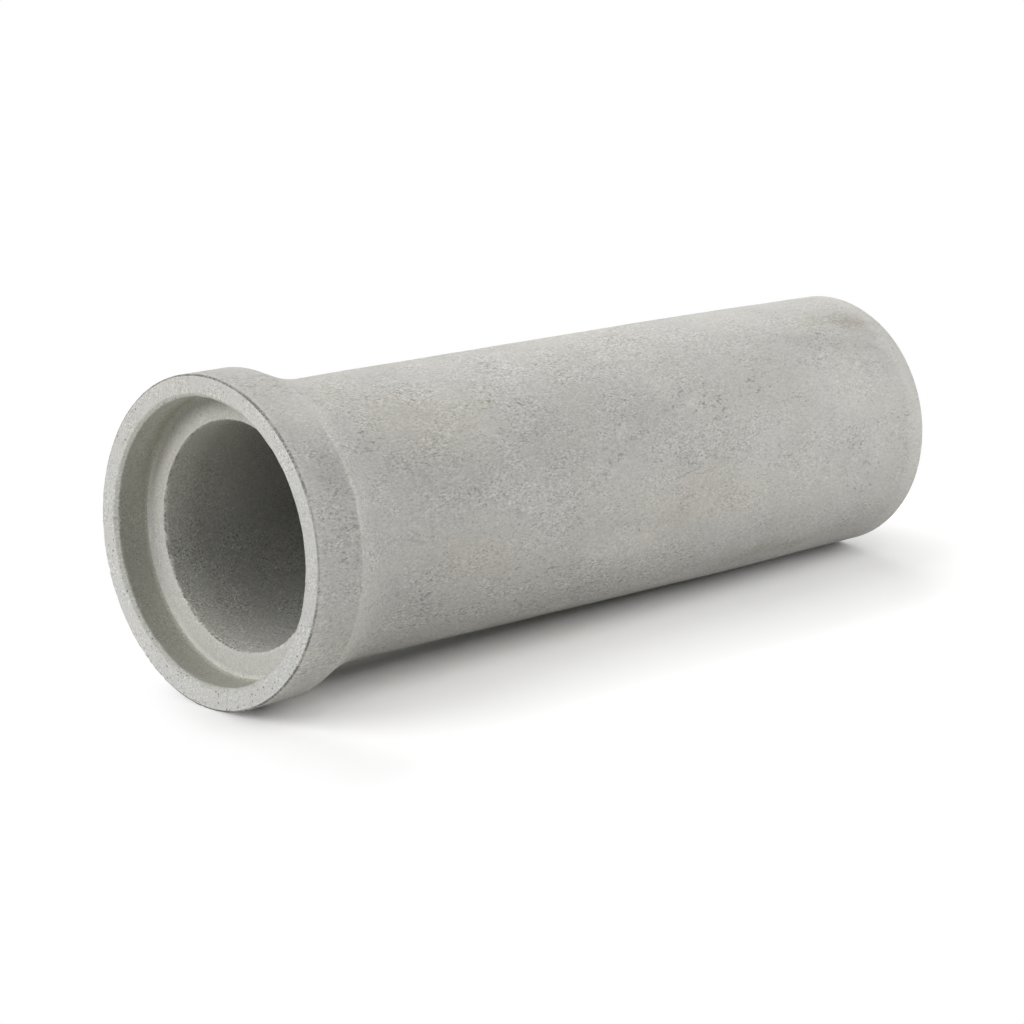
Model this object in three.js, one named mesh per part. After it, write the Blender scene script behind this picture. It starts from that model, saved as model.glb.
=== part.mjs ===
// Socket pipe in cast concrete: a straight barrel with a bell at one end and a spigot at the other.
// Lengths are in millimetres and +Z is up. The pipe lies unheld on a level floor, along X, with its
// bell towards -X: it rests on the back edge of the bell and on the end of the spigot, so its axis
// falls slightly towards the spigot.

import * as THREE from 'three';

// Driving dimensions of the barrel.
const LENGTH = 1000; // bell face to spigot end
const BORE_DIAMETER = 250;
const BARREL_WALL = 31;

// The spigot is the last stretch of the barrel, drawn in to a slight taper, with a rounded end.
const SPIGOT_LENGTH = 240;
const SPIGOT_TAPER = 3; // loss of radius from the barrel to the spigot's end
const SPIGOT_ROUND_RADIUS = 7; // rounding of the end's outer edge

// The socket is the wider hollow in the bell, which takes the next pipe's spigot.
const SOCKET_DEPTH = 43;
const SOCKET_CLEARANCE = 2.5; // radial gap around the next pipe's spigot
const SOCKET_ROOT_RADIUS = 6; // fillet between the socket's wall and its shoulder
const MOUTH_CHAMFER_DEPTH = 4; // chamfer at the socket's mouth, across the wall
const MOUTH_CHAMFER_LENGTH = 2.5; // the same chamfer, along the axis

// The bell is the collar around the socket, and the flare leads from it down to the barrel.
const BELL_WALL = 24.5;
const BELL_LENGTH = 60.5; // bell face to the top of the flare
const BELL_CORNER_RADIUS = 8; // rounding where the bell breaks into the flare
const FLARE_SLOPE = 22; // degrees from the axis, at the flare's steepest
const FLARE_CONE_LENGTH = 22; // straight stretch of the flare, down its slope

// Worn edges.
const BELL_ARRIS = 2; // outer edge of the bell's face
const BORE_ARRIS = 1.5; // both ends of the bore

// Fineness of the facets.
const SIDES = 96; // flat sides around the pipe; an even number puts one of them flat underneath
const HOLLOW_STEPS = 12;
const ROUND_STEPS = 5;
const FILLET_STEPS = 4;

const CONCRETE = { color: 0xb1b0aa, roughness: 0.92, metalness: 0 };

const BORE_RADIUS = BORE_DIAMETER / 2;
const BARREL_RADIUS = BORE_RADIUS + BARREL_WALL;
const SPIGOT_RADIUS = BARREL_RADIUS - SPIGOT_TAPER;
const SOCKET_RADIUS = SPIGOT_RADIUS + SOCKET_CLEARANCE;
const BELL_RADIUS = SOCKET_RADIUS + BELL_WALL;

// A point of the profile, given by its distance from the axis and its distance from the bell's face.
function at(radius, along) {
  return new THREE.Vector2(radius, along);
}

// Points of a circular arc. Angles are in radians, from the radial direction towards the spigot, and
// the arc runs from the first to the second the short way.
function arc(centre, radius, from, to, steps) {
  return new THREE.EllipseCurve(centre.x, centre.y, radius, radius, from, to, to < from).getPoints(steps);
}

// The bell's face and its outside, down to the barrel. A small round arc eases the bell's back edge
// into a short cone, and a long hollow arc takes the cone out flush with the barrel. The hollow's
// radius is the one that uses up the fall in radius that the round and the cone leave over.
function bellOutside() {
  const slope = THREE.MathUtils.degToRad(FLARE_SLOPE);
  const corner = at(BELL_RADIUS - BELL_CORNER_RADIUS, BELL_LENGTH - BELL_CORNER_RADIUS * Math.tan(slope / 2));
  const cone = new THREE.Vector2(-Math.sin(slope), Math.cos(slope)).multiplyScalar(FLARE_CONE_LENGTH);
  const bothRadii = (BELL_RADIUS - BARREL_RADIUS + cone.x) / (1 - Math.cos(slope));
  const hollowRadius = bothRadii - BELL_CORNER_RADIUS;
  const hollow = at(BARREL_RADIUS + hollowRadius, corner.y + cone.y + bothRadii * Math.sin(slope));
  return [
    at(BELL_RADIUS - BELL_ARRIS, 0),
    at(BELL_RADIUS, BELL_ARRIS),
    ...arc(corner, BELL_CORNER_RADIUS, 0, slope, FILLET_STEPS),
    ...arc(hollow, hollowRadius, Math.PI + slope, Math.PI, HOLLOW_STEPS),
  ];
}

// The spigot's taper, its rounded edge and the pipe's end face.
function spigotOutside() {
  const rounding = at(SPIGOT_RADIUS - SPIGOT_ROUND_RADIUS, LENGTH - SPIGOT_ROUND_RADIUS);
  return [
    at(BARREL_RADIUS, LENGTH - SPIGOT_LENGTH),
    ...arc(rounding, SPIGOT_ROUND_RADIUS, 0, Math.PI / 2, ROUND_STEPS),
    at(BORE_RADIUS + BORE_ARRIS, LENGTH),
  ];
}

// The bore, from the spigot's end back to the socket's shoulder.
function bore() {
  return [
    at(BORE_RADIUS, LENGTH - BORE_ARRIS),
    at(BORE_RADIUS, SOCKET_DEPTH + BORE_ARRIS),
    at(BORE_RADIUS + BORE_ARRIS, SOCKET_DEPTH),
  ];
}

// The socket: its root fillet, its wall and the chamfer at its mouth.
function socket() {
  const root = at(SOCKET_RADIUS - SOCKET_ROOT_RADIUS, SOCKET_DEPTH - SOCKET_ROOT_RADIUS);
  return [
    ...arc(root, SOCKET_ROOT_RADIUS, Math.PI / 2, 0, FILLET_STEPS),
    at(SOCKET_RADIUS, MOUTH_CHAMFER_LENGTH),
    at(SOCKET_RADIUS + MOUTH_CHAMFER_DEPTH, 0),
  ];
}

// The angle at which the pipe lies: how far it tips over the rounded back edge of the bell before some
// point of the spigot meets the floor. The flat side underneath is nearer the axis than its corners.
function restingTilt(bell, spigot) {
  const apothem = Math.cos(Math.PI / SIDES);
  const fall = (heel, toe) => Math.atan2(apothem * (heel.x - toe.x), toe.y - heel.y);
  return Math.min(...spigot.map((toe) => Math.max(...bell.map((heel) => fall(heel, toe)))));
}

const bellSide = bellOutside();
const spigotSide = spigotOutside();
const profile = [...bellSide, ...spigotSide, ...bore(), ...socket(), bellSide[0]];

const concrete = new THREE.MeshStandardMaterial(CONCRETE);
const pipe = new THREE.Mesh(new THREE.LatheGeometry(profile, SIDES, Math.PI / SIDES), concrete);
pipe.name = 'pipe';
pipe.rotation.z = -Math.PI / 2; // the axis of revolution lies down along +X

const lying = new THREE.Group();
lying.rotation.y = restingTilt(bellSide, spigotSide);
lying.add(pipe);

// The origin is on the floor, in the middle of the pipe's length and width.
const extent = new THREE.Box3().setFromObject(lying, true);
const middle = extent.getCenter(new THREE.Vector3());
lying.position.set(-middle.x, -middle.y, -extent.min.z);

const part = new THREE.Group();
part.add(lying);

export default part;
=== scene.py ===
"""A socket pipe in cast concrete, lying unheld on a pale studio floor, laid out as an add-on.

Its property groups hold the pipe's sizes, the wear of its edges, its finish and the stage. One operator
casts the pipe and one sets the stage. Lengths are in metres and +Z is up. The pipe lies along X, with its
bell towards -X.

The pipe is one closed skin: a profile is carried round the axis, and then swollen and chipped.
"""

import math
from functools import partial, reduce

import bpy
import numpy as np
from bpy.props import FloatProperty, FloatVectorProperty, IntProperty, PointerProperty
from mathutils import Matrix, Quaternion, Vector


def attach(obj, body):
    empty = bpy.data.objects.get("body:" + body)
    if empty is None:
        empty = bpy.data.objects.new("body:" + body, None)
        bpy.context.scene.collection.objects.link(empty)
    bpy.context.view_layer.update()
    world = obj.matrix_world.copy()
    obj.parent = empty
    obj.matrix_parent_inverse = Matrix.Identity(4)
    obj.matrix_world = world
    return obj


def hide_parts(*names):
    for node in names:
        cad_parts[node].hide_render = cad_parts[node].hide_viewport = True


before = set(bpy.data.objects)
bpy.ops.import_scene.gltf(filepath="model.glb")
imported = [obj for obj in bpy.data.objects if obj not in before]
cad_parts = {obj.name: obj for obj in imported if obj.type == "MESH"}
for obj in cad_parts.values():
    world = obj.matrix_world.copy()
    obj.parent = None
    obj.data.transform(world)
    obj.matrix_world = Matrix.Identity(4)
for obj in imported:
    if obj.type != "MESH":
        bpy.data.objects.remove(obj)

bl_info = {
    "name": "Cast Concrete Socket Pipe",
    "version": (1, 0, 0),
    "blender": (4, 5, 0),
    "location": "3D View > Sidebar > Pipe",
    "description": "Casts a bell-and-spigot concrete pipe and sets it on a studio floor",
    "category": "Add Mesh",
}

MILLIMETRE = 0.001
CAD_NODE = "pipe"
BODY = "root"


def length(about, millimetres):
    """A property for a length, given in millimetres and kept in metres."""
    size = millimetres * MILLIMETRE
    return FloatProperty(description=about, default=size, min=0, precision=4, subtype="DISTANCE")


def colour(about, red, green, blue):
    """A property for a colour, in linear light."""
    return FloatVectorProperty(description=about, default=(red, green, blue), min=0, max=1, subtype="COLOR")


def angle(about, degrees):
    """A property for an angle, given in degrees and kept in radians."""
    return FloatProperty(description=about, default=math.radians(degrees), subtype="ANGLE")


def point(about, x, y, z):
    """A property for a place."""
    return FloatVectorProperty(description=about, default=(x, y, z), subtype="TRANSLATION")


def number(about, default):
    """A property for a plain number without a unit."""
    return FloatProperty(description=about, default=default, precision=3)


def count(about, default, least=0):
    """A property for a whole number."""
    return IntProperty(description=about, default=default, min=least)


def labelled(group):
    """Labels a group's properties by their own names: bell_wall becomes Bell wall."""
    for name, made in group.__annotations__.items():
        made.keywords["name"] = name.replace("_", " ").capitalize()
    return group


# ---- What a user would change ----


@labelled
class PipeSizes(bpy.types.PropertyGroup):
    """The pipe's driving sizes."""

    length: length("Bell face to spigot end", 1000)
    bore_radius: length("Radius of the waterway", 125)
    barrel_wall: length("Thickness of the barrel", 31)
    spigot_length: length("Tapered stretch at the far end", 240)
    spigot_taper: length("Loss of radius over the spigot", 3)
    spigot_round: length("Rounding of the spigot's outer edge", 7)
    socket_depth: length("Bell face to the socket's shoulder", 43)
    socket_clearance: length("Radial gap around the next pipe's spigot", 2.5)
    socket_root: length("Fillet at the socket's shoulder", 6)
    mouth_depth: length("Chamfer at the socket's mouth, across the wall", 4)
    mouth_length: length("Chamfer at the socket's mouth, along the pipe", 2.5)
    bell_wall: length("Thickness of the bell around the socket", 24.5)
    bell_length: length("Bell face to the top of the flare", 60.5)
    bell_corner: length("Rounding where the bell breaks into the flare", 8)
    bell_arris: length("Rounding of the bell face's outer edge", 2)
    bore_arris: length("Rounding of the bore's edges", 1.5)
    flare_slope: angle("Steepest angle of the flare, from the axis", 22)
    flare_cone: length("Straight stretch of the flare, down its slope", 22)
    columns: count("Steps of the skin round the pipe", 480, least=24)


@labelled
class CastingWear(bpy.types.PropertyGroup):
    """How uneven the casting is, and how its edges are worn."""

    swell: length("Soft unevenness of the walls", 0.35)
    arris_loss: length("Evenly worn off the bell's outer edge", 0.15)
    arris_bite: length("Deepest chips in the bell's outer edge", 0.55)
    arris_bites: count("Chips in the bell's outer edge", 60)
    bore_loss: length("Evenly worn off the bore's edges", 0.12)
    bore_bite: length("Deepest chips in the bore's edges", 1.0)
    bore_bites: count("Chips in each edge of the bore", 80)
    mouth_loss: length("Evenly worn off the socket's mouth", 1.2)
    mouth_bite: length("Deepest chips in the socket's mouth", 0.7)
    mouth_bites: count("Chips in the socket's mouth", 26)
    fullness: length("How far the bell stands out at its lowest, where it is fullest", 2.1)
    seed: count("Draws the chips and the swell anew", 7)


@labelled
class ConcreteFinish(bpy.types.PropertyGroup):
    """The colours and the grain of the concrete."""

    outside: colour("Barrel and bell, as struck from the mould", 0.456, 0.451, 0.427)
    face: colour("Trowelled face of the bell", 0.628, 0.625, 0.598)
    shoulder: colour("Shoulder of the socket", 0.594, 0.591, 0.555)
    socket: colour("Wall of the socket", 0.506, 0.498, 0.440)
    bore: colour("Wall of the waterway at its ends", 0.530, 0.528, 0.495)
    pit: colour("Inside of the pits and air holes", 0.12, 0.118, 0.108)
    warmth: colour("What the cement is multiplied by in its warm patches", 1.0, 0.974, 0.944)
    grain_size: length("Width of the sand grains that show", 1.5)
    grain: number("How far the sand grains differ in tone", 0.42)
    mottle: number("How far the soft clouds differ in tone", 0.17)
    air_holes: number("Share of the places for an air hole that have one", 0.32)


@labelled
class StudioStage(bpy.types.PropertyGroup):
    """The floor, the light and the camera."""

    eye: point("Where the camera stands", -2.7159, -2.7642, 1.1367)
    aim: point("The point that the camera looks at", -0.0534, -0.0017, 0.1335)
    lens: number("Focal length, in millimetres on a 36 mm frame", 121.822)
    roll: angle("How far the camera leans to its left", -0.29)
    floor_reach: length("Half the side of the floor", 30000)
    # How pale the camera sees the floor along the pipe; where these differ they paint its shadow darker or
    # paler.
    floor_near: number("How pale the floor looks before the bell", 1.09)
    floor_middle: number("How pale the floor looks along the barrel", 1.22)
    floor_far: number("How pale the floor looks at the spigot's end", 1.05)
    floor_end: number("How much paler it gets past the spigot's end", 1.07)
    floor_lit: number("How much light the floor throws back", 0.80)
    # A painted contact shadow on the floor, along the line that the pipe lies on.
    contact: number("Share of its paleness lost in the line that the pipe lies on", 0.42)
    contact_reach: length("How far from that line the loss is felt", 36)
    clear_round: point("Middle of the floor that holds the shadow", 0.1, -0.3, 0.0)
    clear_from: length("Distance from there where it starts to fade into white", 620)
    clear_at: length("Distance from there where it is white", 740)
    sky: number("Strength of the even light from all round", 0.03)


# ---- The profile ----

QUARTER = math.pi / 2


def straight(start, end, steps, crowd=0.0):
    """Points from start towards end, without end: start + (end - start) · t, for t from 0 to 1.

    crowd draws the points together at both ends: t - crowd · sin(2πt) / 2π.
    """
    even = np.arange(steps) / steps
    t = (even - crowd * np.sin(2 * np.pi * even) / (2 * np.pi))[:, None]
    return np.asarray(start) + (np.asarray(end) - np.asarray(start)) * t


def bend(centre, axial, radial, first, last, steps):
    """Points of an arc, without its last: centre + (axial · sin t, radial · cos t), t first to last."""
    t = first + (last - first) * np.arange(steps) / steps
    return np.asarray(centre) + np.stack([axial * np.sin(t), radial * np.cos(t)], axis=1)


class Section:
    """The pipe's section. A point is (distance along, distance from the axis)."""

    def __init__(self, sizes):
        self.length = sizes.length
        self.bore = sizes.bore_radius
        self.barrel = self.bore + sizes.barrel_wall
        self.spigot = self.barrel - sizes.spigot_taper
        self.socket = self.spigot + sizes.socket_clearance
        self.lip = self.socket + sizes.mouth_depth
        self.bell = self.socket + sizes.bell_wall
        slope = sizes.flare_slope
        corner = sizes.bell_corner
        self.heel = sizes.bell_length - corner * math.tan(slope / 2)
        self.cone = np.array([math.cos(slope), -math.sin(slope)]) * sizes.flare_cone
        both_radii = (self.bell - self.barrel + self.cone[1]) / (1 - math.cos(slope))
        self.hollow = both_radii - corner
        self.flare_end = self.heel + self.cone[0] + both_radii * math.sin(slope)
        self.sizes = sizes

    def outside(self):
        """The bell's outer edge, its side, the flare, the barrel, the spigot and its end face.

        The flare is a round corner, a short cone and a hollow arc that runs out flush with the barrel.
        """
        s = self.sizes
        slope = s.flare_slope
        hollow = np.array([self.flare_end, self.barrel + self.hollow])
        cone_end = hollow - self.hollow * np.array([math.sin(slope), math.cos(slope)])
        rounding = (self.length - s.spigot_round, self.spigot - s.spigot_round)
        spigot_start = (self.length - s.spigot_length, self.barrel)
        return [
            bend((s.bell_arris, self.bell - s.bell_arris), s.bell_arris, s.bell_arris, -QUARTER, 0, 5),
            straight((s.bell_arris, self.bell), (self.heel, self.bell), 18, 0.6),
            bend((self.heel, self.bell - s.bell_corner), s.bell_corner, s.bell_corner, 0, slope, 7),
            straight(cone_end - self.cone, cone_end, 5),
            bend(hollow, -self.hollow, -self.hollow, slope, 0, 16),
            straight((self.flare_end, self.barrel), spigot_start, 34),
            straight(spigot_start, (rounding[0], self.spigot), 15),
            bend(rounding, s.spigot_round, s.spigot_round, 0, QUARTER, 8),
            straight((self.length, rounding[1]), (self.length, self.bore + s.bore_arris), 6, 0.5),
        ]

    def inside(self):
        """The rest, from the spigot's end face: the surface that each stretch belongs to, and the stretch.

        The shoulder and the socket's wall share the fillet between them, and the face has the chamfer.
        """
        s = self.sizes
        arris, root = s.bore_arris, s.socket_root
        far = (self.length - arris, self.bore + arris)
        near = (s.socket_depth + arris, self.bore + arris)
        fillet = (s.socket_depth - root, self.socket - root)
        return [
            ("bore", bend(far, arris, -arris, QUARTER, 0, 4)),
            ("bore", straight((far[0], self.bore), (near[0], self.bore), 40, 0.8)),
            ("bore", bend(near, -arris, -arris, 0, QUARTER, 5)),
            ("shoulder", straight((s.socket_depth, near[1]), (s.socket_depth, fillet[1]), 9, 0.5)),
            ("shoulder", bend(fillet, root, root, QUARTER, QUARTER / 2, 4)),
            ("socket", bend(fillet, root, root, QUARTER / 2, 0, 4)),
            ("socket", straight((fillet[0], self.socket), (s.mouth_length, self.socket), 12, 0.6)),
            ("face", straight((s.mouth_length, self.socket), (0, self.lip), 3)),
            ("face", straight((0, self.lip), (0, self.bell - s.bell_arris), 9, 0.5)),
        ]


def lying(section):
    """How the pipe lies: its tilt, and where the middle of its bell face is.

    It rests on the bell's back edge and on the spigot. Each point beyond the flare would tip it by the
    greatest angle from any point of the bell down to it, and the least of these is its tilt. The origin is
    on the floor, in the middle of its length.
    """
    along, radius = np.concatenate(section.outside()).T
    beyond = along > section.flare_end + MILLIMETRE
    fall = np.subtract.outer(radius[~beyond], radius[beyond])
    reach = np.subtract.outer(along[beyond], along[~beyond]).T
    tilt = np.arctan2(fall, reach).max(axis=0).min()
    left = (along * math.cos(tilt) - radius * math.sin(tilt)).min()
    right = (along * math.cos(tilt) + radius * math.sin(tilt)).max()
    height = (along * math.sin(tilt) + radius * math.cos(tilt)).max()
    return tilt, Vector((-(left + right) / 2, 0.0, height))


# ---- The casting ----

EDGE_REACH = 18 * MILLIMETRE  # how far from an edge's corner its wear and its dirt can reach


def swell(around, along, rng, waves=28, shortest=0.09):
    """Soft unevenness of a wall, mostly between -1 and 1.

    It is a sum of waves, w · cos(m·angle + 2π·along/L + phase). Each m is whole, so that the seam closes,
    and short waves get a smaller weight w.
    """
    total = np.zeros(np.broadcast(around, along).shape)
    weights = 0.0
    for _ in range(waves):
        turns = int(rng.integers(0, 11))
        span = shortest * rng.uniform(1.0, 9.0)
        weight = 1.0 / (1.0 + turns / 3.0 + 0.12 / span)
        total += weight * np.cos(turns * around + 2 * np.pi * along / span + rng.uniform(0, 2 * np.pi))
        weights += weight ** 2
    return total / math.sqrt(2 * weights)


def ripple(around, rng, slowest, fastest, waves=40):
    """Unevenness along an edge, mostly between -1 and 1: a sum of cos(m·angle + phase), m whole."""
    turns = rng.integers(slowest, fastest, waves)[:, None]
    phase = rng.uniform(0, 2 * np.pi, waves)[:, None]
    return np.cos(turns * around + phase).sum(axis=0) / math.sqrt(waves / 2)


def bites(around, radius, chips, depth, rng):
    """Depth of the chips along an edge. Each is depth · k · max(0, 1 - (distance / half width)²), its k
    mostly small, and where two meet the deeper one counts."""
    middle = rng.uniform(0, 2 * np.pi, chips)[:, None]
    size = rng.uniform(0.15, 1.0, chips)[:, None] ** 2
    half = 1.5 * depth + 3.0 * depth * size
    apart = radius * np.abs((around - middle + np.pi) % (2 * np.pi) - np.pi)
    return (depth * size * np.clip(1 - (apart / half) ** 2, 0, 1)).max(axis=0, initial=0)


def worn_edges(section, wear, around, rng):
    """Each edge of the pipe: its name, its corner, the direction into the concrete and the depth lost there.

    The depth counts from the sharp corner, so a rounding of radius r has already lost r · (√2 - 1).
    """
    s = section.sizes
    slant = math.sqrt(0.5)

    def lost(rounding, even, uneven, waves, radius, chips, deepest):
        """The rounding, the even loss times 1 + uneven · ripple, and the chips."""
        depth = rounding * (math.sqrt(2) - 1) + even * (1 + uneven * ripple(around, rng, *waves))
        return depth + bites(around, radius, chips, deepest, rng)

    bore = (s.bore_arris, wear.bore_loss, 1, (8, 140), section.bore, wear.bore_bites, wear.bore_bite)
    arris = lost(s.bell_arris, wear.arris_loss, 1, (5, 120), section.bell, wear.arris_bites, wear.arris_bite)
    near = lost(*bore)
    far = lost(*bore)
    mouth = lost(0, wear.mouth_loss, 0.15, (3, 60), section.socket, wear.mouth_bites, wear.mouth_bite)
    return [
        ("arris", (0.0, section.bell), (slant, -slant), arris),
        ("rim", (s.socket_depth, section.bore), (slant, slant), near),
        ("rim", (section.length, section.bore), (-slant, slant), far),
        ("mouth", (s.mouth_length, section.socket), (slant, slant), mouth),
    ]


def chip(points, edges):
    """Cuts every edge back: what stands above its cutting line moves straight in to that line.

    A point p lies (p - corner) · inward in from the corner, and depth less that is how far it moves.
    Returns the points and, by each edge's name, how far they lie from its corner, up to EDGE_REACH.
    """
    distances = {}
    for name, corner, inward, depth in edges:
        away = points - corner
        distance = np.linalg.norm(away, axis=2)
        distances[name] = np.minimum(distances.get(name, EDGE_REACH), distance)
        cut = np.clip(depth - away @ inward, 0, None) * (distance < EDGE_REACH)
        points = points + cut[:, :, None] * inward
    return points, distances


def fuller(section, rows, around, fullness):
    """How much further from the axis each point of the bell is, where it is full underneath.

    It is fullness · a · b · max(0, cos(angle from the lowest point))⁴, where a falls from 1 at the face
    to 0 at the heel, and b grows from 0 at the socket's mouth to 1 at the bell's outside.
    """
    near_face = np.clip(1 - rows[:, 0] / section.heel, 0, 1)
    outer = np.clip((rows[:, 1] - section.lip) / (section.bell - section.lip), 0, 1)
    low = np.clip(-np.cos(around), 0, 1) ** 4
    return fullness * (near_face * outer)[:, None] * low


def cast_skin(section, wear, columns):
    """The profile's rows carried round the axis in columns, and worn.

    Returns the corners as they lie, each row's surface and, by each edge's name, the distances from it.
    """
    stretches = [("outside", part) for part in section.outside()] + section.inside()
    rows = np.concatenate([part for _, part in stretches])
    order = list(FINISHES)
    surfaces = np.concatenate([np.full(len(part), order.index(name)) for name, part in stretches])
    around = np.arange(columns) * 2 * np.pi / columns

    # The outward normal of the profile is its tangent turned a quarter, from its two neighbours.
    tangent = np.roll(rows, -1, axis=0) - np.roll(rows, 1, axis=0)
    normal = np.stack([-tangent[:, 1], tangent[:, 0]], axis=1)
    normal /= np.linalg.norm(normal, axis=1, keepdims=True)

    rng = np.random.default_rng(wear.seed)
    lift = wear.swell * swell(around, rows[:, :1], rng)
    points = rows[:, None, :] + lift[:, :, None] * normal[:, None, :]
    points, distances = chip(points, worn_edges(section, wear, around, rng))
    points[:, :, 1] += fuller(section, rows, around, wear.fullness)

    tilt, start = lying(section)
    along, radius = points[:, :, 0], points[:, :, 1]
    above = radius * np.cos(around)
    x = along * math.cos(tilt) + above * math.sin(tilt) + start.x
    z = above * math.cos(tilt) - along * math.sin(tilt) + start.z
    return np.stack([x, radius * np.sin(around), np.maximum(z, 0)], axis=-1), surfaces, distances


def skin_mesh(name, corners, surfaces, attributes):
    """A closed mesh of a grid that joins up both ways."""
    rows, columns = corners.shape[:2]
    index = np.arange(rows * columns).reshape(rows, columns)
    below = np.roll(index, -1, axis=0)
    quads = np.stack([index, np.roll(index, -1, axis=1), np.roll(below, -1, axis=1), below], axis=-1)
    mesh = bpy.data.meshes.new(name)
    mesh.from_pydata(corners.reshape(-1, 3), [], quads.reshape(-1, 4))
    mesh.polygons.foreach_set("material_index", np.repeat(surfaces, columns))
    mesh.shade_smooth()
    for label, values in attributes.items():
        mesh.attributes.new(label, "FLOAT", "POINT").data.foreach_set("value", values.ravel())
    mesh.validate()
    return mesh


# ---- Shader nodes ----


def titled(sizes):
    """Values by the names of the sockets that take them: crumb_size becomes Crumb Size."""
    return {label.replace("_", " ").title(): value for label, value in sizes.items()}


def new_material(name):
    """A material without any nodes."""
    material = bpy.data.materials.new(name)
    material.use_nodes = True
    material.node_tree.nodes.clear()
    return material


class Net:
    """A tree of nodes. Each step adds to it and returns the output that carries the result."""

    def __init__(self, tree):
        self.tree = tree

    def node(self, kind, inputs=None, **settings):
        """A new node. inputs gives each socket, by name or number, a value or the output that feeds it."""
        made = self.tree.nodes.new(kind)
        for name, value in settings.items():
            setattr(made, name, value)
        for key, value in (inputs or {}).items():
            if isinstance(value, bpy.types.NodeSocket):
                self.tree.links.new(value, made.inputs[key])
            else:
                made.inputs[key].default_value = value
        return made

    def maths(self, operation, first, second=0.0, clamp=False):
        """The result of one sum on two numbers."""
        made = self.node("ShaderNodeMath", {0: first, 1: second}, operation=operation, use_clamp=clamp)
        return made.outputs[0]

    def times(self, *factors):
        """Numbers multiplied together."""
        return reduce(partial(self.maths, "MULTIPLY"), factors)

    def plus(self, *terms):
        """Numbers added up."""
        return reduce(partial(self.maths, "ADD"), terms)

    def vector(self, operation, first, second=(0, 0, 0)):
        """The result of one sum on two vectors, or a measure of them."""
        made = self.node("ShaderNodeVectorMath", {0: first, 1: second}, operation=operation)
        return made.outputs["Value" if operation in {"DOT_PRODUCT", "DISTANCE", "LENGTH"} else "Vector"]

    def parts(self, vector):
        """A vector's X, Y and Z."""
        return self.node("ShaderNodeSeparateXYZ", {0: vector}).outputs

    def joined(self, **parts):
        """A vector of its X, Y and Z."""
        return self.node("ShaderNodeCombineXYZ", parts).outputs[0]

    def ramp(self, value, low, high, start=0.0, end=1.0):
        """value between low and high, turned smoothly into start to end, and held there outside them."""
        inputs = {"Value": value, "From Min": low, "From Max": high, "To Min": start, "To Max": end}
        return self.node("ShaderNodeMapRange", inputs, interpolation_type="SMOOTHSTEP").outputs[0]

    def fall(self, value, low, high):
        """1 up to low, falling smoothly to 0 at high."""
        return self.ramp(value, low, high, 1, 0)

    def blend(self, factor, first, second, mode="MIX"):
        """Two colours mixed by factor."""
        inputs = {0: factor, 6: first, 7: second}
        return self.node("ShaderNodeMix", inputs, data_type="RGBA", blend_type=mode).outputs[2]

    def noise(self, vector, scale, detail=2.0, roughness=0.5, curl=0.0):
        """A cloud pattern between 0 and 1, mostly near 0.5. Curl bends its shapes."""
        inputs = {"Vector": vector, "Scale": scale, "Detail": detail, "Roughness": roughness}
        return self.node("ShaderNodeTexNoise", {**inputs, "Distortion": curl}).outputs["Fac"]

    def cells(self, vector, scale):
        """A pattern of cells: the distance from a cell's middle, and three numbers drawn for each cell."""
        made = self.node("ShaderNodeTexVoronoi", {"Vector": vector, "Scale": scale}).outputs
        return made["Distance"], self.node("ShaderNodeSeparateColor", {"Color": made["Color"]}).outputs

    def centred(self, value, gain):
        """A cloud pattern's value turned about 0 and stretched: (value - 0.5) · gain."""
        return self.times(self.maths("SUBTRACT", value, 0.5), gain)


class Group(Net):
    """A node group under way. Its inputs are given with their defaults, or None for a vector."""

    def __init__(self, name, **inputs):
        super().__init__(bpy.data.node_groups.new(name, "ShaderNodeTree"))
        for label, default in titled(inputs).items():
            kind = "NodeSocketVector" if default is None else "NodeSocketFloat"
            socket = self.tree.interface.new_socket(label, in_out="INPUT", socket_type=kind)
            if default is not None:
                socket.default_value = default
        self.given = self.node("NodeGroupInput").outputs

    def per(self, size):
        """How many of a given size go into a metre: the scale of a pattern."""
        return self.maths("DIVIDE", 1, self.given[size])

    def gives(self, **results):
        """Ends the group with its outputs."""
        results = titled(results)
        for label, value in results.items():
            kind = "NodeSocketVector" if value.type == "VECTOR" else "NodeSocketFloat"
            self.tree.interface.new_socket(label, in_out="OUTPUT", socket_type=kind)
        self.node("NodeGroupOutput", results)
        return self.tree


DRAW = 1.9  # how many times longer the patterns run along the pipe


def wall_place(section):
    """Where a point lies, in metres: Along from the bell face, Radius from the axis, Height above the axis,
    and Round, the way up round the barrel from the side at -Y.

    Drawn is its place drawn together along the pipe, so that a pattern on it runs along.
    """
    net = Group("wall_place", vector=None)
    tilt, start = lying(section)
    away = net.vector("SUBTRACT", net.given["Vector"], start)
    along = net.vector("DOT_PRODUCT", away, (math.cos(tilt), 0, -math.sin(tilt)))
    height = net.vector("DOT_PRODUCT", away, (math.sin(tilt), 0, math.cos(tilt)))
    side = net.parts(away)["Y"]
    turn = net.maths("ARCTAN2", height, net.times(side, -1))
    return net.gives(
        along=along,
        radius=net.vector("LENGTH", net.joined(X=side, Y=height)),
        height=height,
        round=net.times(turn, section.barrel),
        drawn=net.joined(X=net.times(along, 1 / DRAW), Y=side, Z=height),
    )


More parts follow.
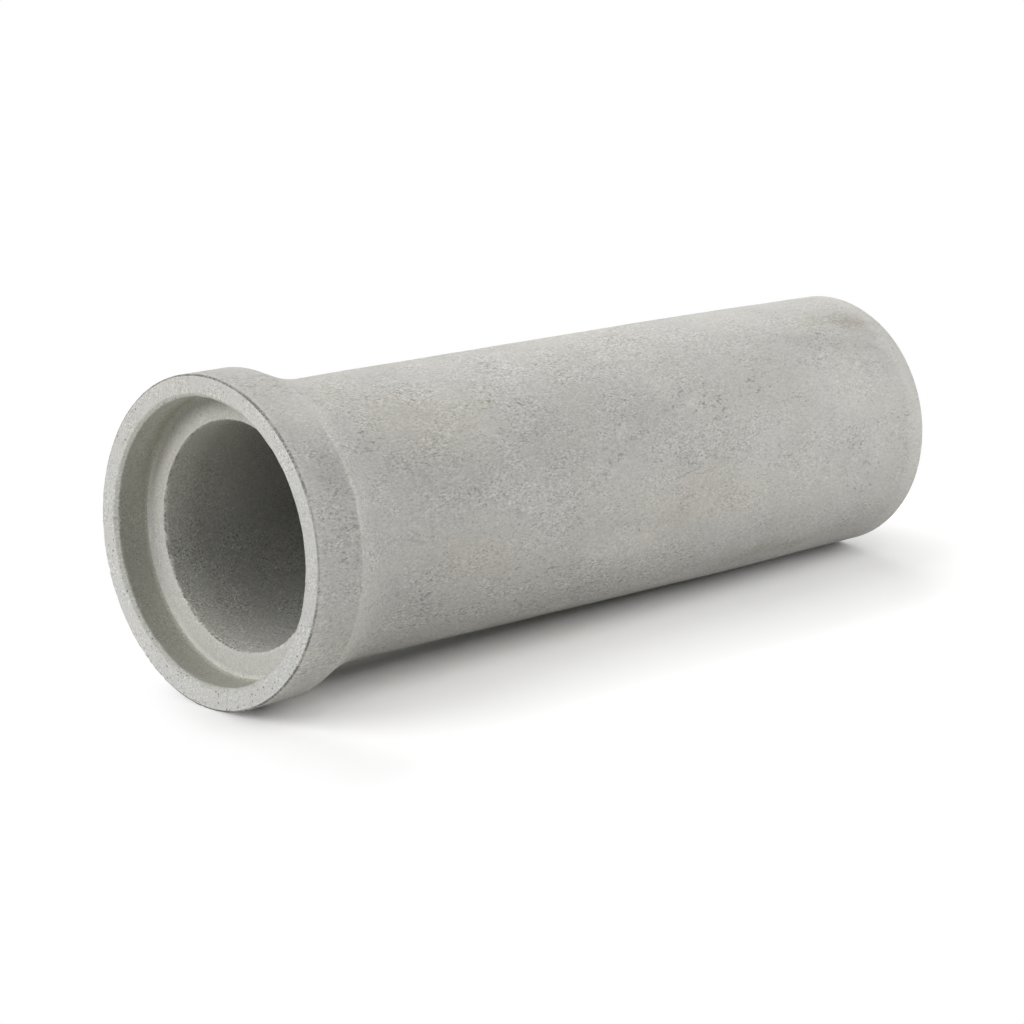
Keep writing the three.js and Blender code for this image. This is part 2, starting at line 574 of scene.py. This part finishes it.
def sand_grain():
    """Sand in the cement skin: each grain has a shade of its own, mostly near the middle one. Over them lie
    finer dust and, fainter, clumps a few grains wide. The grains stand out more in some patches.

    Tone is about -1 to 1, and Height is 0 to 1. No grain is paler than Ceiling.
    """
    net = Group("sand_grain", vector=None, size=0.0015, clumps=1.0, patch_size=0.035, ceiling=3.0)
    where, fineness = net.given["Vector"], net.per("Size")
    _, draw = net.cells(where, fineness)
    lean = net.centred(draw["Red"], 2)
    dust = net.noise(where, net.times(fineness, 0.72), 3, 0.7)
    clumps = net.noise(where, net.times(fineness, 0.17), 1.5, 0.7)
    strength = net.ramp(net.noise(where, net.per("Patch Size")), 0.34, 0.66, 0.65, 1.45)
    fine = net.plus(net.times(lean, lean, lean, 0.55), net.centred(dust, 2.4))
    fine = net.times(net.maths("MINIMUM", fine, net.given["Ceiling"]), strength)
    coarse = net.times(net.centred(clumps, 0.9), net.given["Clumps"])
    return net.gives(tone=net.plus(fine, coarse), height=dust)


def air_holes():
    """Small holes that trapped air leaves: round, mostly pores and a few wide ones, gathered in patches.

    Each cell of the pattern may hold one. Mask is 1 inside a hole.
    """
    net = Group("air_holes", vector=None, spacing=0.0042, radius=0.0012, share=0.3, patch_size=0.06)
    distance, draw = net.cells(net.given["Vector"], net.per("Spacing"))
    crowding = net.ramp(net.noise(net.given["Vector"], net.per("Patch Size")), 0.35, 0.68, 0.25, 1.9)
    present = net.maths("LESS_THAN", draw["Red"], net.times(net.given["Share"], crowding))
    size = net.plus(net.times(net.maths("POWER", draw["Green"], 3), 0.6), 0.4)
    reach = net.maths("DIVIDE", net.times(net.given["Radius"], size), net.given["Spacing"])
    return net.gives(mask=net.times(net.fall(distance, net.times(reach, 0.5), reach), present))


def furrows():
    """Short curly furrows and ragged pits, where the skin dragged on the mould.

    Marks is 1 in all of them, and Torn only in those of the patches where the skin is torn and dirty. Extra
    widens the patches where it is above 0.
    """
    net = Group("furrows", vector=None, size=0.0043, width=0.1, patch_size=0.05, extra=0.0)
    where, scale = net.given["Vector"], net.per("Size")
    lines = net.noise(where, net.times(scale, 0.55), 1, 0.5, curl=0.5)
    crests = net.fall(net.maths("ABSOLUTE", net.centred(lines, 2)), 0, net.given["Width"])
    spots = net.noise(where, scale, 2, 0.6)
    curls = net.times(crests, net.ramp(spots, 0.52, 0.58))
    marks = net.maths("MAXIMUM", curls, net.ramp(spots, 0.66, 0.71))
    patches = net.noise(where, net.per("Patch Size"), 3, 0.6)
    torn = net.ramp(net.plus(patches, net.given["Extra"]), 0.5, 0.67)
    return net.gives(marks=marks, torn=net.times(marks, torn))


def mottling():
    """Soft clouds in the cement. Tone is about -1 to 1, and Warmth is 0 to 1 in patches of its own."""
    net = Group("mottling", vector=None, size=0.11)
    where, scale = net.given["Vector"], net.per("Size")
    tone = net.centred(net.noise(where, scale, 4, 0.62), 2.4)
    elsewhere = net.vector("ADD", where, (3.7, -1.9, 5.1))
    return net.gives(tone=tone, warmth=net.ramp(net.noise(elsewhere, scale), 0.42, 0.64))


def stain():
    """One patch on the wall. Mask is 1 in its middle and 0 past its reach, and Tatters fray its border.

    Place is (along, round). Its way from Centre is counted in reaches: Across · way and Upright · way. Where
    Upright has a part along, the patch slants.
    """
    net = Group("stain", place=None, centre=None, across=None, upright=None, tatters=0.0)
    away = net.vector("SUBTRACT", net.given["Place"], net.given["Centre"])
    counted = [net.vector("DOT_PRODUCT", away, net.given[way]) for way in ("Across", "Upright")]
    distance = net.vector("LENGTH", net.joined(X=counted[0], Y=counted[1]))
    return net.gives(mask=net.fall(net.plus(distance, net.given["Tatters"]), 0.1, 1))


def worn_edge():
    """What handling does to an edge. Crumbs is 1 in the dark pits broken out of it, within Width of its
    corner, and Line all along it there. Rub is 1 where it is rubbed pale, beside them, as far as Reach."""
    net = Group("worn_edge", vector=None, distance=1, width=0.0022, crumb_size=0.003, share=0.5, reach=0.006)
    where, distance, width = (net.given[name] for name in ("Vector", "Distance", "Width"))
    scale = net.per("Crumb Size")
    crumbs = net.noise(where, scale, 2, 0.6)
    runs = net.noise(where, net.times(scale, 0.12))
    close = net.fall(distance, net.times(width, 0.5), width)
    broken = net.plus(crumbs, net.centred(runs, 0.6), net.given["Share"])
    beside = net.fall(distance, width, net.given["Reach"])
    return net.gives(
        crumbs=net.times(net.ramp(broken, 0.94, 1.1), close),
        line=close,
        rub=net.times(beside, net.maths("SUBTRACT", 1, close)),
    )


def finish_groups(section):
    """Every node group, built once, by name."""
    makers = (sand_grain, air_holes, furrows, mottling, stain, worn_edge)
    return {"wall_place": wall_place(section), **{maker.__name__: maker() for maker in makers}}


# ---- Materials ----

ROUGHNESS = 0.9
GRAIN_ROUGHNESS = 0.04  # how much rougher the palest grains are
GRAIN_RELIEF = 0.4  # how much of the relief the grains take up
SPECULAR = 0.3
TATTER_SIZE = 0.016
REGION_SIZE = 0.11


class Concrete(Net):
    """A material under way: the cement's colour, how dark its pits are and how high its relief stands.

    The cement comes first, each step after it works on these three, and done() makes the shader.
    """

    relief = 0.6  # in millimetres

    def __init__(self, name, finish, groups):
        self.material = new_material(name)
        super().__init__(self.material.node_tree)
        self.finish = finish
        self.groups = groups
        self.where = self.node("ShaderNodeTexCoord").outputs["Object"]
        self.place = self.placed("wall_place", vector=self.where)
        self.dark = 0

    def placed(self, group, **inputs):
        """A group placed in the material: its outputs."""
        return self.node("ShaderNodeGroup", titled(inputs), node_tree=self.groups[group]).outputs

    def ramp(self, value, *ends):
        """A ramp over a value, or over a measure of the place by its name: Along, Radius, Height or Round."""
        return super().ramp(self.place[value] if isinstance(value, str) else value, *ends)

    def cement(self, base, grain=1.0, mottle=1.0, warm=1.0, drawn=False, **sand_values):
        """The base colour, warm in patches, times 1 + grain tone + cloud tone. Drawn grain runs along."""
        laid = self.place["Drawn"] if drawn else self.where
        sand = self.placed("sand_grain", vector=laid, size=self.finish.grain_size, **sand_values)
        cloud = self.placed("mottling", vector=self.where)
        grains = self.times(sand["Tone"], self.finish.grain, grain)
        tone = self.plus(grains, 1, self.times(cloud["Tone"], self.finish.mottle * mottle))
        tinted = [part * warmth for part, warmth in zip(base, self.finish.warmth)]
        mixed = self.blend(self.times(cloud["Warmth"], warm), (*base, 1), (*tinted, 1))
        scaled = self.node("ShaderNodeVectorMath", {0: mixed, "Scale": tone}, operation="SCALE")
        self.colour = scaled.outputs[0]
        self.height = self.times(sand["Height"], GRAIN_RELIEF)
        self.grains = sand["Tone"]

    def tint(self, mask, *shade):
        """Multiplies the colour where the mask is 1, by one number or by one each for red, green and blue."""
        self.colour = self.blend(mask, self.colour, (*(shade * 3)[:3], 1), "MULTIPLY")

    def darken(self, mask, darkness):
        """Turns the colour towards that of a pit where the mask is 1."""
        self.dark = self.maths("MAXIMUM", self.times(mask, darkness), self.dark, clamp=True)

    def sink(self, mask, depth):
        """Lowers the surface where the mask is 1."""
        self.height = self.maths("SUBTRACT", self.height, self.times(mask, depth))

    def air_holes(self, share, darkness=0.6, depth=0.7, **sizes):
        """Air holes of all sizes."""
        holes = self.placed("air_holes", vector=self.where, share=share, **sizes)["Mask"]
        self.darken(holes, darkness)
        if depth:
            self.sink(holes, depth)

    def furrows(self, depth, darkness, **sizes):
        """Furrows and ragged pits, dark in the torn patches."""
        drag = self.placed("furrows", vector=self.place["Drawn"], **sizes)
        self.darken(drag["Torn"], darkness)
        self.sink(drag["Marks"], depth)

    def worn(self, edge, darkness, line=0.0, rub=0.0, **sizes):
        """Crumbs broken out of an edge, a dirty line along it, and the pale rub beside them."""
        distance = self.node("ShaderNodeAttribute", attribute_name=edge).outputs["Fac"]
        wear = self.placed("worn_edge", vector=self.where, distance=distance, **sizes)
        if rub:
            self.tint(wear["Rub"], 1 + rub)
        self.darken(wear["Crumbs"], darkness)
        self.darken(wear["Line"], line)

    def done(self):
        """The shader and the output."""
        shown = self.blend(self.dark, self.colour, (*self.finish.pit, 1))
        bump = self.node("ShaderNodeBump", {"Height": self.height, "Distance": MILLIMETRE * self.relief})
        rough = self.maths("ADD", self.times(self.grains, GRAIN_ROUGHNESS), ROUGHNESS, clamp=True)
        inputs = {"Base Color": shown, "Roughness": rough, "Normal": bump.outputs[0]}
        shader = self.node("ShaderNodeBsdfPrincipled", {**inputs, "Specular IOR Level": SPECULAR})
        self.node("ShaderNodeOutputMaterial", {"Surface": shader.outputs[0]})
        return self.material


GREY, DULL, DIM = (0.923, 0.92, 0.921), (0.965, 0.965, 0.968), (0.9, 0.9, 0.89)
PALE, BRIGHT, BEIGE = (1.05, 1.05, 1.05), (1.13, 1.13, 1.12), (1.027, 1.004, 0.975)
OLIVE, BROWN = (0.94, 0.96, 0.9), (0.9, 0.87, 0.83)
RUSTY, LOW_SHADE = (0.93, 0.918, 0.88), (0.875, 0.866, 0.81)
# The patches that show on the side at -Y: how far along and up round the wall the middle of each lies, in
# millimetres and degrees, its reach along and round in millimetres, its lean, its tint, how frayed its
# border is and how torn the skin is in it.
WALL_PATCHES = (
    # On the bell and the flare.
    (42, 26, 30, 72, 0, GREY, 0.7, 0.01),
    (46, 33, 17, 42, 0, DULL, 0.9, 0),
    (56, 56, 50, 54, 0, BRIGHT, 0.6, 0),
    (34, -14, 34, 95, 0, PALE, 0.5, 0),
    (8, -30, 26, 85, 0, BRIGHT, 0.4, 0),
    (92, 52, 45, 75, 0, PALE, 0.6, 0),
    # Clouds along the barrel.
    (215, 48, 125, 85, -0.2, BEIGE, 0.5, 0),
    (240, -6, 150, 50, -0.1, BEIGE, 0.7, 0),
    (620, -6, 260, 60, -0.1, BEIGE, 0.9, 0),
    (225, 27, 140, 50, -0.1, GREY, 0.5, 0.02),
    # Torn places towards the bell.
    (119, 42, 26, 20, 0.2, DULL, 0.9, 0.12),
    (178, -29, 60, 26, 0, DULL, 0.9, 0.13),
    (350, -37, 60, 22, 0, DULL, 0.9, 0.1),
    # More clouds.
    (478, -20, 85, 36, 0, BRIGHT, 0.7, 0),
    (405, -44, 90, 28, 0, GREY, 0.8, 0.04),
    (780, -46, 90, 28, 0, DIM, 0.8, 0),
    (470, 30, 260, 84, -0.1, GREY, 0.5, 0),
    # Torn places along the barrel.
    (360, 33, 42, 26, 0.2, DULL, 0.9, 0.18),
    (392, 5, 24, 18, 0.3, DULL, 0.9, 0.17),
    (485, 23, 75, 14, 0.55, DULL, 0.9, 0.17),
    (590, 38, 45, 12, 0.3, DULL, 0.9, 0.15),
    (795, 28, 38, 22, 0, DULL, 0.9, 0.13),
    (160, -20, 55, 22, -0.2, DULL, 0.9, 0.1),
    (400, -24, 30, 20, 0, DULL, 0.9, 0.1),
    (560, -10, 40, 20, 0, DULL, 0.9, 0.12),
    # Pale places towards the spigot.
    (870, 30, 110, 60, 0, PALE, 0.7, 0),
    (815, -13, 150, 48, 0, PALE, 0.4, 0),
    # Stains.
    (870, 54, 145, 20, -0.23, GREY, 0.9, 0.12),
    (945, 62, 60, 48, -0.2, DIM, 0.8, 0.06),
    (948, 64, 38, 22, -0.2, BROWN, 0.9, 0.12),
    (895, 68, 40, 18, 0, OLIVE, 0.9, 0.03),
    (909, 0, 9, 60, 0, PALE, 0.9, 0.13),
    (312, 53, 26, 14, 0.3, OLIVE, 0.9, 0.08),
    (136, 77, 24, 10, 0.2, OLIVE, 0.9, 0.1),
    # Rust low down, and painted shade along the bottom of the wall, where it nears the floor.
    (740, -44, 230, 32, 0, RUSTY, 0.8, 0.02),
    (430, -64, 450, 26, 0, LOW_SHADE, 0.4, 0),
)
ROOT_SHADE = (-0.02, 0.11)  # the heights above the axis where the painted shade at the socket's root begins and is full


def side_patches(skin, section, tatters):
    """Lays the patches on the side at -Y, and returns how torn the skin is in them."""
    amounts = {frayed for *_, frayed, _ in WALL_PATCHES}
    borders = {frayed: skin.centred(tatters, 2 * frayed) for frayed in amounts}
    place = skin.joined(X=skin.place["Along"], Y=skin.place["Round"])
    torn = 0
    for middle, turn, reach, climb, lean, tint, frayed, tear in WALL_PATCHES:
        reach *= MILLIMETRE
        climb *= MILLIMETRE
        mask = skin.placed(
            "stain", place=place, centre=(middle * MILLIMETRE, math.radians(turn) * section.barrel, 0),
            across=(1 / reach, 0, 0), upright=(-lean / climb, 1 / climb, 0), tatters=borders[frayed],
        )["Mask"]
        skin.tint(mask, *tint)
        if tear:
            torn = skin.plus(skin.times(mask, tear), torn)
    return torn


def back_patches(skin):
    """Lays patches drawn at random on the side at +Y, and returns the dull ones' mask."""
    behind = skin.ramp(skin.parts(skin.where)["Y"], -0.03, 0.07)
    regions = skin.noise(skin.place["Drawn"], 1 / REGION_SIZE, 3, 0.6)
    dull = skin.times(behind, skin.ramp(regions, 0.5, 0.62))
    skin.tint(dull, *GREY)
    skin.tint(skin.times(behind, skin.fall(regions, 0.38, 0.5)), *BEIGE)
    return dull


def crease(skin, seam, tatters):
    """Painted light at the line where the bell ring stood in the mould: a painted highlight along a narrow
    ridge, and beyond it painted light on the flare, paler than the bell and darkening out along the barrel."""
    wavering = skin.plus(skin.place["Along"], skin.centred(tatters, 0.003))
    beyond = skin.ramp(wavering, seam, seam + 0.003)
    fading = skin.fall("Along", seam + 0.006, seam + 0.045)
    below_top = skin.times(skin.ramp("Round", 0.12, 0.165, 1, 0.25), skin.ramp("Round", -0.1, 0, 0.5, 1))
    skin.tint(skin.times(beyond, fading, below_top), 1.085, 1.085, 1.08)
    ridge_highlight = skin.times(beyond, skin.fall(wavering, seam + 0.003, seam + 0.01))
    upper = skin.times(skin.ramp("Round", 0.02, 0.06, 0.1, 1), skin.fall("Round", 0.115, 0.15))
    skin.tint(skin.times(ridge_highlight, skin.ramp(tatters, 0.32, 0.5), upper), 1.13, 1.13, 1.125)


def handling(skin):
    """How dirty the bell's outer edge is: cleaner halfway up its sides, where it is held least."""
    return skin.maths(
        "MAXIMUM", skin.ramp("Height", 0.055, 0.1, 0.4, 1), skin.ramp("Height", -0.06, -0.02, 1.15, 0.4),
    )


def moulded_concrete(skin, finish, section):
    """The barrel and the outside of the bell."""
    skin.relief = 1
    rim = skin.ramp("Along", section.length - 0.034, section.length - 0.02)
    grain = skin.times(
        skin.ramp("Along", 0.45, 0.9, 0.84, 0.58),
        skin.ramp("Round", 0.08, 0.17, 1, skin.ramp("Along", 0.06, 0.14, 0.8, 1.22)),
        skin.ramp("Round", -0.13, -0.04, 1.3, 1),
        skin.ramp(rim, 0, 1, 1, 0.7),
    )
    clumps = skin.ramp("Along", 0.25, 0.5, 0.28, 0.42)
    skin.cement(finish.outside, grain, mottle=0.7, warm=0.35, drawn=True, clumps=clumps, ceiling=0.6)
    # Painted light on the last stretch of the spigot and its end, where its rounding catches the light.
    skin.tint(rim, 1.09)
    tatters = skin.noise(skin.where, 1 / TATTER_SIZE, 4, 0.65)
    torn = side_patches(skin, section, tatters)
    torn = skin.plus(skin.times(back_patches(skin), 0.11), torn)
    # Painted light on the flare beyond the crease, and a painted highlight along the crease.
    crease(skin, section.sizes.bell_length - 2 * MILLIMETRE, tatters)
    warm = skin.times(skin.fall("Round", -0.1, 0.02), skin.fall("Along", 0.42, 0.7))
    skin.tint(warm, 1.014, 1, 0.978)
    skin.air_holes(skin.plus(skin.times(torn, 2.2), finish.air_holes * 0.35), depth=0)
    darkness = skin.times(skin.ramp("Along", 0.06, 0.14, 0.82, 1), skin.ramp("Along", 0.55, 0.85, 0.52, 0.46))
    skin.furrows(0.35, darkness, extra=torn, width=skin.ramp("Along", 0.45, 0.75, 0.16, 0.1))
    dirt = handling(skin)
    line = skin.times(dirt, 0.2)
    skin.worn("arris", skin.times(dirt, 0.68), line, rub=0.07, width=0.003, share=0.55, reach=0.014)


def bore_concrete(skin, finish, section):
    """The waterway's wall: painted shade darkens it away from both its ends and towards its top, and painted
    light lifts it near its ends and low down.
    """
    skin.relief = 0.7
    grain = skin.ramp("Height", -section.bore, section.bore / 2, 1.6, 0.9)
    skin.cement(finish.bore, grain, mottle=0.5, warm=0.3, clumps=0.5)
    # Painted light at the bottom of the wall, and painted shade towards its top.
    skin.tint(skin.fall("Height", -section.bore, -0.02), 1.07)
    skin.tint(skin.ramp("Height", -0.01, 0.1), 0.8, 0.795, 0.75)
    from_bell = skin.maths("SUBTRACT", skin.place["Along"], section.sizes.socket_depth)
    from_spigot = skin.maths("SUBTRACT", section.length, skin.place["Along"])
    inside = skin.maths("MINIMUM", from_bell, from_spigot)
    # Painted shade deeper in from both ends, and painted light near them.
    skin.tint(skin.ramp(inside, 0, 0.2), 0.62, 0.62, 0.63)
    skin.tint(skin.fall(inside, 0.01, 0.05), 1.22, 1.22, 1.21)
    # Painted light low down, deeper in.
    low = skin.fall("Height", -0.075, -0.015)
    skin.tint(skin.times(low, skin.ramp(inside, 0.08, 0.18)), 1.28)
    skin.worn("rim", 0.7, line=0.15, width=0.0026, crumb_size=0.0028, share=0.5)


def shoulder_concrete(skin, finish, section):
    """The socket's shoulder, against which the next pipe stops."""
    skin.cement(finish.shoulder, 0.65, mottle=0.5, warm=0.8, clumps=0.5)
    root = section.socket - section.sizes.socket_root
    # A painted highlight on the fillet at the socket's root.
    skin.tint(skin.ramp("Radius", root - 0.001, root + 0.001), 1.11)
    # Painted shade on the shoulder near the socket's root, at its top, under the overhang of the bell.
    by_root = skin.ramp("Radius", section.socket - 0.024, section.socket - 0.003)
    skin.tint(skin.times(by_root, skin.ramp("Height", *ROOT_SHADE)), 0.56, 0.56, 0.53)
    skin.air_holes(finish.air_holes * 0.6, 0.5)
    skin.worn("rim", 0.6, rub=0.04, width=0.0016, share=0.45)


def socket_concrete(skin, finish, section):
    """The socket's wall, smooth from its ring in the mould."""
    skin.cement(finish.socket, 0.8, mottle=0.7, warm=0.2, clumps=0.7)
    depth = section.sizes.socket_depth
    # Painted shade on the socket's wall near its root, at its top.
    by_root = skin.ramp("Along", depth - 0.026, depth - 0.002)
    skin.tint(skin.times(by_root, skin.ramp("Height", *ROOT_SHADE)), 0.72, 0.72, 0.66)
    skin.air_holes(finish.air_holes * 0.4, 0.5)


def face_concrete(skin, finish, section):
    """The bell's face and the chamfer at its mouth."""
    skin.cement(finish.face, 0.8, mottle=0.35, warm=0.5, clumps=0.3, ceiling=0.8)
    # Painted shade in the chamfer at the socket's mouth.
    skin.tint(skin.fall("Radius", section.lip, section.lip + 0.001), 0.96, 0.97, 0.94)
    skin.tint(skin.fall("Height", -0.15, 0.02), 0.995, 0.995, 1.005)
    pores = skin.ramp("Height", -0.17, -0.08, finish.air_holes * 3.2, finish.air_holes * 0.9)
    skin.air_holes(pores, 0.78, spacing=0.0046, radius=0.0016, patch_size=0.026)
    wide = skin.ramp("Height", -0.17, -0.09, finish.air_holes * 2.2, finish.air_holes * 0.15)
    skin.air_holes(wide, 0.8, spacing=0.0085, radius=0.0021, patch_size=0.03)
    near_side = skin.fall(skin.parts(skin.where)["Y"], -0.08, -0.03)
    skin.tint(skin.times(near_side, skin.fall("Height", 0.06, 0.11)), 0.92, 0.92, 0.925)
    dirt = handling(skin)
    skin.worn("arris", skin.times(dirt, 0.5), skin.times(dirt, 0.15), rub=0.02, width=0.0018, share=0.55)


# How each surface of the skin is finished, in the order of its material's number.
FINISHES = {
    "outside": moulded_concrete,
    "bore": bore_concrete,
    "shoulder": shoulder_concrete,
    "socket": socket_concrete,
    "face": face_concrete,
}


# ---- Operators ----


class PIPE_OT_cast(bpy.types.Operator):
    """Cast the pipe: one closed skin from the sizes and the wear, in the finishes of its surfaces"""

    bl_idname = "pipe.cast"
    bl_label = "Cast the Pipe"

    def execute(self, context):
        scene = context.scene
        finish = scene.concrete_finish
        section = Section(scene.pipe_sizes)
        corners, surfaces, attributes = cast_skin(section, scene.casting_wear, scene.pipe_sizes.columns)
        mesh = skin_mesh("pipe_casting", corners, surfaces, attributes)
        groups = finish_groups(section)
        for lay in FINISHES.values():
            skin = Concrete(lay.__name__, finish, groups)
            lay(skin, finish, section)
            mesh.materials.append(skin.done())
        pipe = put("pipe_casting", mesh)
        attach(pipe, BODY)
        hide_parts(CAD_NODE)
        return {"FINISHED"}


class PIPE_OT_stage(bpy.types.Operator):
    """Set the stage: the floor, the light from all round, the soft lamps and the camera"""

    bl_idname = "pipe.stage"
    bl_label = "Set the Stage"

    def execute(self, context):
        scene = context.scene
        stage = scene.studio_stage
        studio_floor(stage)
        studio_light(stage)
        scene.camera = studio_camera(stage)
        scene.view_settings.view_transform = "Standard"
        return {"FINISHED"}


def put(name, data):
    """A new object in the scene."""
    made = bpy.data.objects.new(name, data)
    bpy.context.scene.collection.objects.link(made)
    return made


def studio_floor(stage):
    """A wide pale floor that meets the pipe at z = 0, and fades into plain white far from it.

    The camera sees it paler than it lights the pipe, so that it is white and still holds the shadow.
    """
    reach = stage.floor_reach
    corners = [(-reach, -reach, 0), (reach, -reach, 0), (reach, reach, 0), (-reach, reach, 0)]
    mesh = bpy.data.meshes.new("studio_floor")
    mesh.from_pydata(corners, [], [(0, 1, 2, 3)])
    mesh.materials.append(floor_material(stage))
    return put("studio_floor", mesh)


def floor_material(stage):
    """The floor's matte white, its tone along and across the pipe, which paints its shadow darker or paler in
    places and paints a contact shadow under the pipe, and the plain white that it fades into.
    """
    material = new_material("pale_floor")
    net = Net(material.node_tree)
    seen = net.node("ShaderNodeLightPath").outputs["Is Camera Ray"]
    where = net.node("ShaderNodeTexCoord").outputs["Object"]
    parts = net.parts(where)
    along = parts["X"]
    # The floor's tone along the pipe paints its shadow darker before the bell and paler towards and past the
    # spigot.
    to_middle = net.ramp(along, -0.55, -0.32, stage.floor_near, stage.floor_middle)
    to_far = net.ramp(along, -0.25, 0.35, stage.floor_middle, stage.floor_far)
    past_end = net.ramp(along, 0.44, 0.56, 1, stage.floor_end)
    # A painted contact shadow in the line under the pipe, cut off past its ends.
    contact_shadow = net.ramp(net.maths("ABSOLUTE", parts["Y"]), 0, stage.contact_reach, 1 - stage.contact, 1)
    beyond = net.ramp(net.maths("ABSOLUTE", along), 0.45, 0.5)
    shown = net.times(net.maths("MINIMUM", to_middle, to_far), past_end)
    shown = net.times(shown, net.maths("MAXIMUM", contact_shadow, beyond))
    level = net.plus(net.times(seen, net.maths("SUBTRACT", shown, stage.floor_lit)), stage.floor_lit)
    away = net.vector("DISTANCE", where, stage.clear_round)
    fade = net.times(net.ramp(away, stage.clear_from, stage.clear_at), seen)
    matte = net.node("ShaderNodeBsdfDiffuse", {"Color": level}).outputs[0]
    clear = net.node("ShaderNodeEmission").outputs[0]
    mixed = net.node("ShaderNodeMixShader", {0: fade, 1: matte, 2: clear})
    net.node("ShaderNodeOutputMaterial", {"Surface": mixed.outputs[0]})
    return material


# Where each soft lamp stands, seen from the pipe: its heading from +X and its height, in degrees, and the
# level at which it lights a surface that faces it. The suns light the whole floor alike.
LAMPS = (
    ("left_high", "SUN", 157.5, 38, 0.455),
    ("left_low", "SUN", 180, 12, 0.285),
    ("right", "SUN", 337.5, 38, 0.095),
    ("back", "AREA", 90, 52, 0.52),
    ("back_right", "AREA", 45, 22, 0.33),
    ("front_right", "AREA", 315, 22, 0.3),
    ("front_high", "AREA", 270, 52, 0.215),
    ("front_low", "AREA", 270, 22, 0.14),
    ("front_left", "AREA", 225, 62, 0.05),
    ("overhead", "AREA", 0, 90, 0.05),
)
SUN_SPREAD = math.radians(44)
LAMP_REACH = 1.9
LAMP_WIDTH = 1.2
LAMP_AIM = Vector((0, 0, 0.15))


def studio_light(stage):
    """Even light from all round, and the soft lamps, which no camera sees. A lamp at level 1 makes a white
    surface render as white, which takes π of a sun, or π² · distance² of an area lamp."""
    world = bpy.data.worlds.new("studio")
    world.use_nodes = True
    background = world.node_tree.nodes["Background"]
    background.inputs["Color"].default_value = (1, 1, 1, 1)
    background.inputs["Strength"].default_value = stage.sky
    bpy.context.scene.world = world
    for name, kind, heading, height, level in LAMPS:
        lamp = bpy.data.lights.new(name, kind)
        if kind == "SUN":
            lamp.energy = math.pi * level
            lamp.angle = SUN_SPREAD
        else:
            lamp.energy = math.pi ** 2 * LAMP_REACH ** 2 * level
            lamp.shape = "DISK"
            lamp.size = LAMP_WIDTH
        turn, rise = math.radians(heading), math.radians(height)
        towards = Vector((math.cos(turn) * math.cos(rise), math.sin(turn) * math.cos(rise), math.sin(rise)))
        holder = put(name, lamp)
        holder.location = LAMP_AIM + LAMP_REACH * towards
        holder.rotation_euler = (-towards).to_track_quat("-Z", "Y").to_euler()
        holder.visible_camera = False


def studio_camera(stage):
    """The camera, at its eye point, turned to its aim and leaning a little."""
    camera = bpy.data.cameras.new("camera")
    camera.lens = stage.lens
    camera.sensor_width = 36
    camera.clip_end = 200
    holder = put("camera", camera)
    holder.location = stage.eye
    look = Vector(stage.aim) - Vector(stage.eye)
    lean = Quaternion((0, 0, 1), stage.roll)
    holder.rotation_euler = (look.to_track_quat("-Z", "Y") @ lean).to_euler()
    return holder


class PIPE_PT_panel(bpy.types.Panel):
    """Lists the steps and what they take."""

    bl_idname = "PIPE_PT_panel"
    bl_label = "Concrete Pipe"
    bl_space_type = "VIEW_3D"
    bl_region_type = "UI"
    bl_category = "Pipe"

    def draw(self, context):
        for owner, _, operator in STEPS:
            settings = getattr(context.scene, owner)
            box = self.layout.box()
            box.label(text=owner.replace("_", " ").capitalize())
            for prop in settings.bl_rna.properties:
                if prop.identifier not in {"rna_type", "name"}:
                    box.prop(settings, prop.identifier)
            if operator:
                box.operator(operator)


STEPS = (
    ("pipe_sizes", PipeSizes, None),
    ("casting_wear", CastingWear, None),
    ("concrete_finish", ConcreteFinish, "pipe.cast"),
    ("studio_stage", StudioStage, "pipe.stage"),
)
CLASSES = (*(group for _, group, _ in STEPS), PIPE_OT_cast, PIPE_OT_stage, PIPE_PT_panel)


def register():
    for each in CLASSES:
        bpy.utils.register_class(each)
    for owner, group, _ in STEPS:
        setattr(bpy.types.Scene, owner, PointerProperty(type=group))


def unregister():
    for owner, _, _ in STEPS:
        delattr(bpy.types.Scene, owner)
    for each in reversed(CLASSES):
        bpy.utils.unregister_class(each)


def main():
    """Makes everything in order."""
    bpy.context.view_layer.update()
    register()
    bpy.ops.pipe.cast()
    bpy.ops.pipe.stage()


if __name__ == "__main__":
    main()
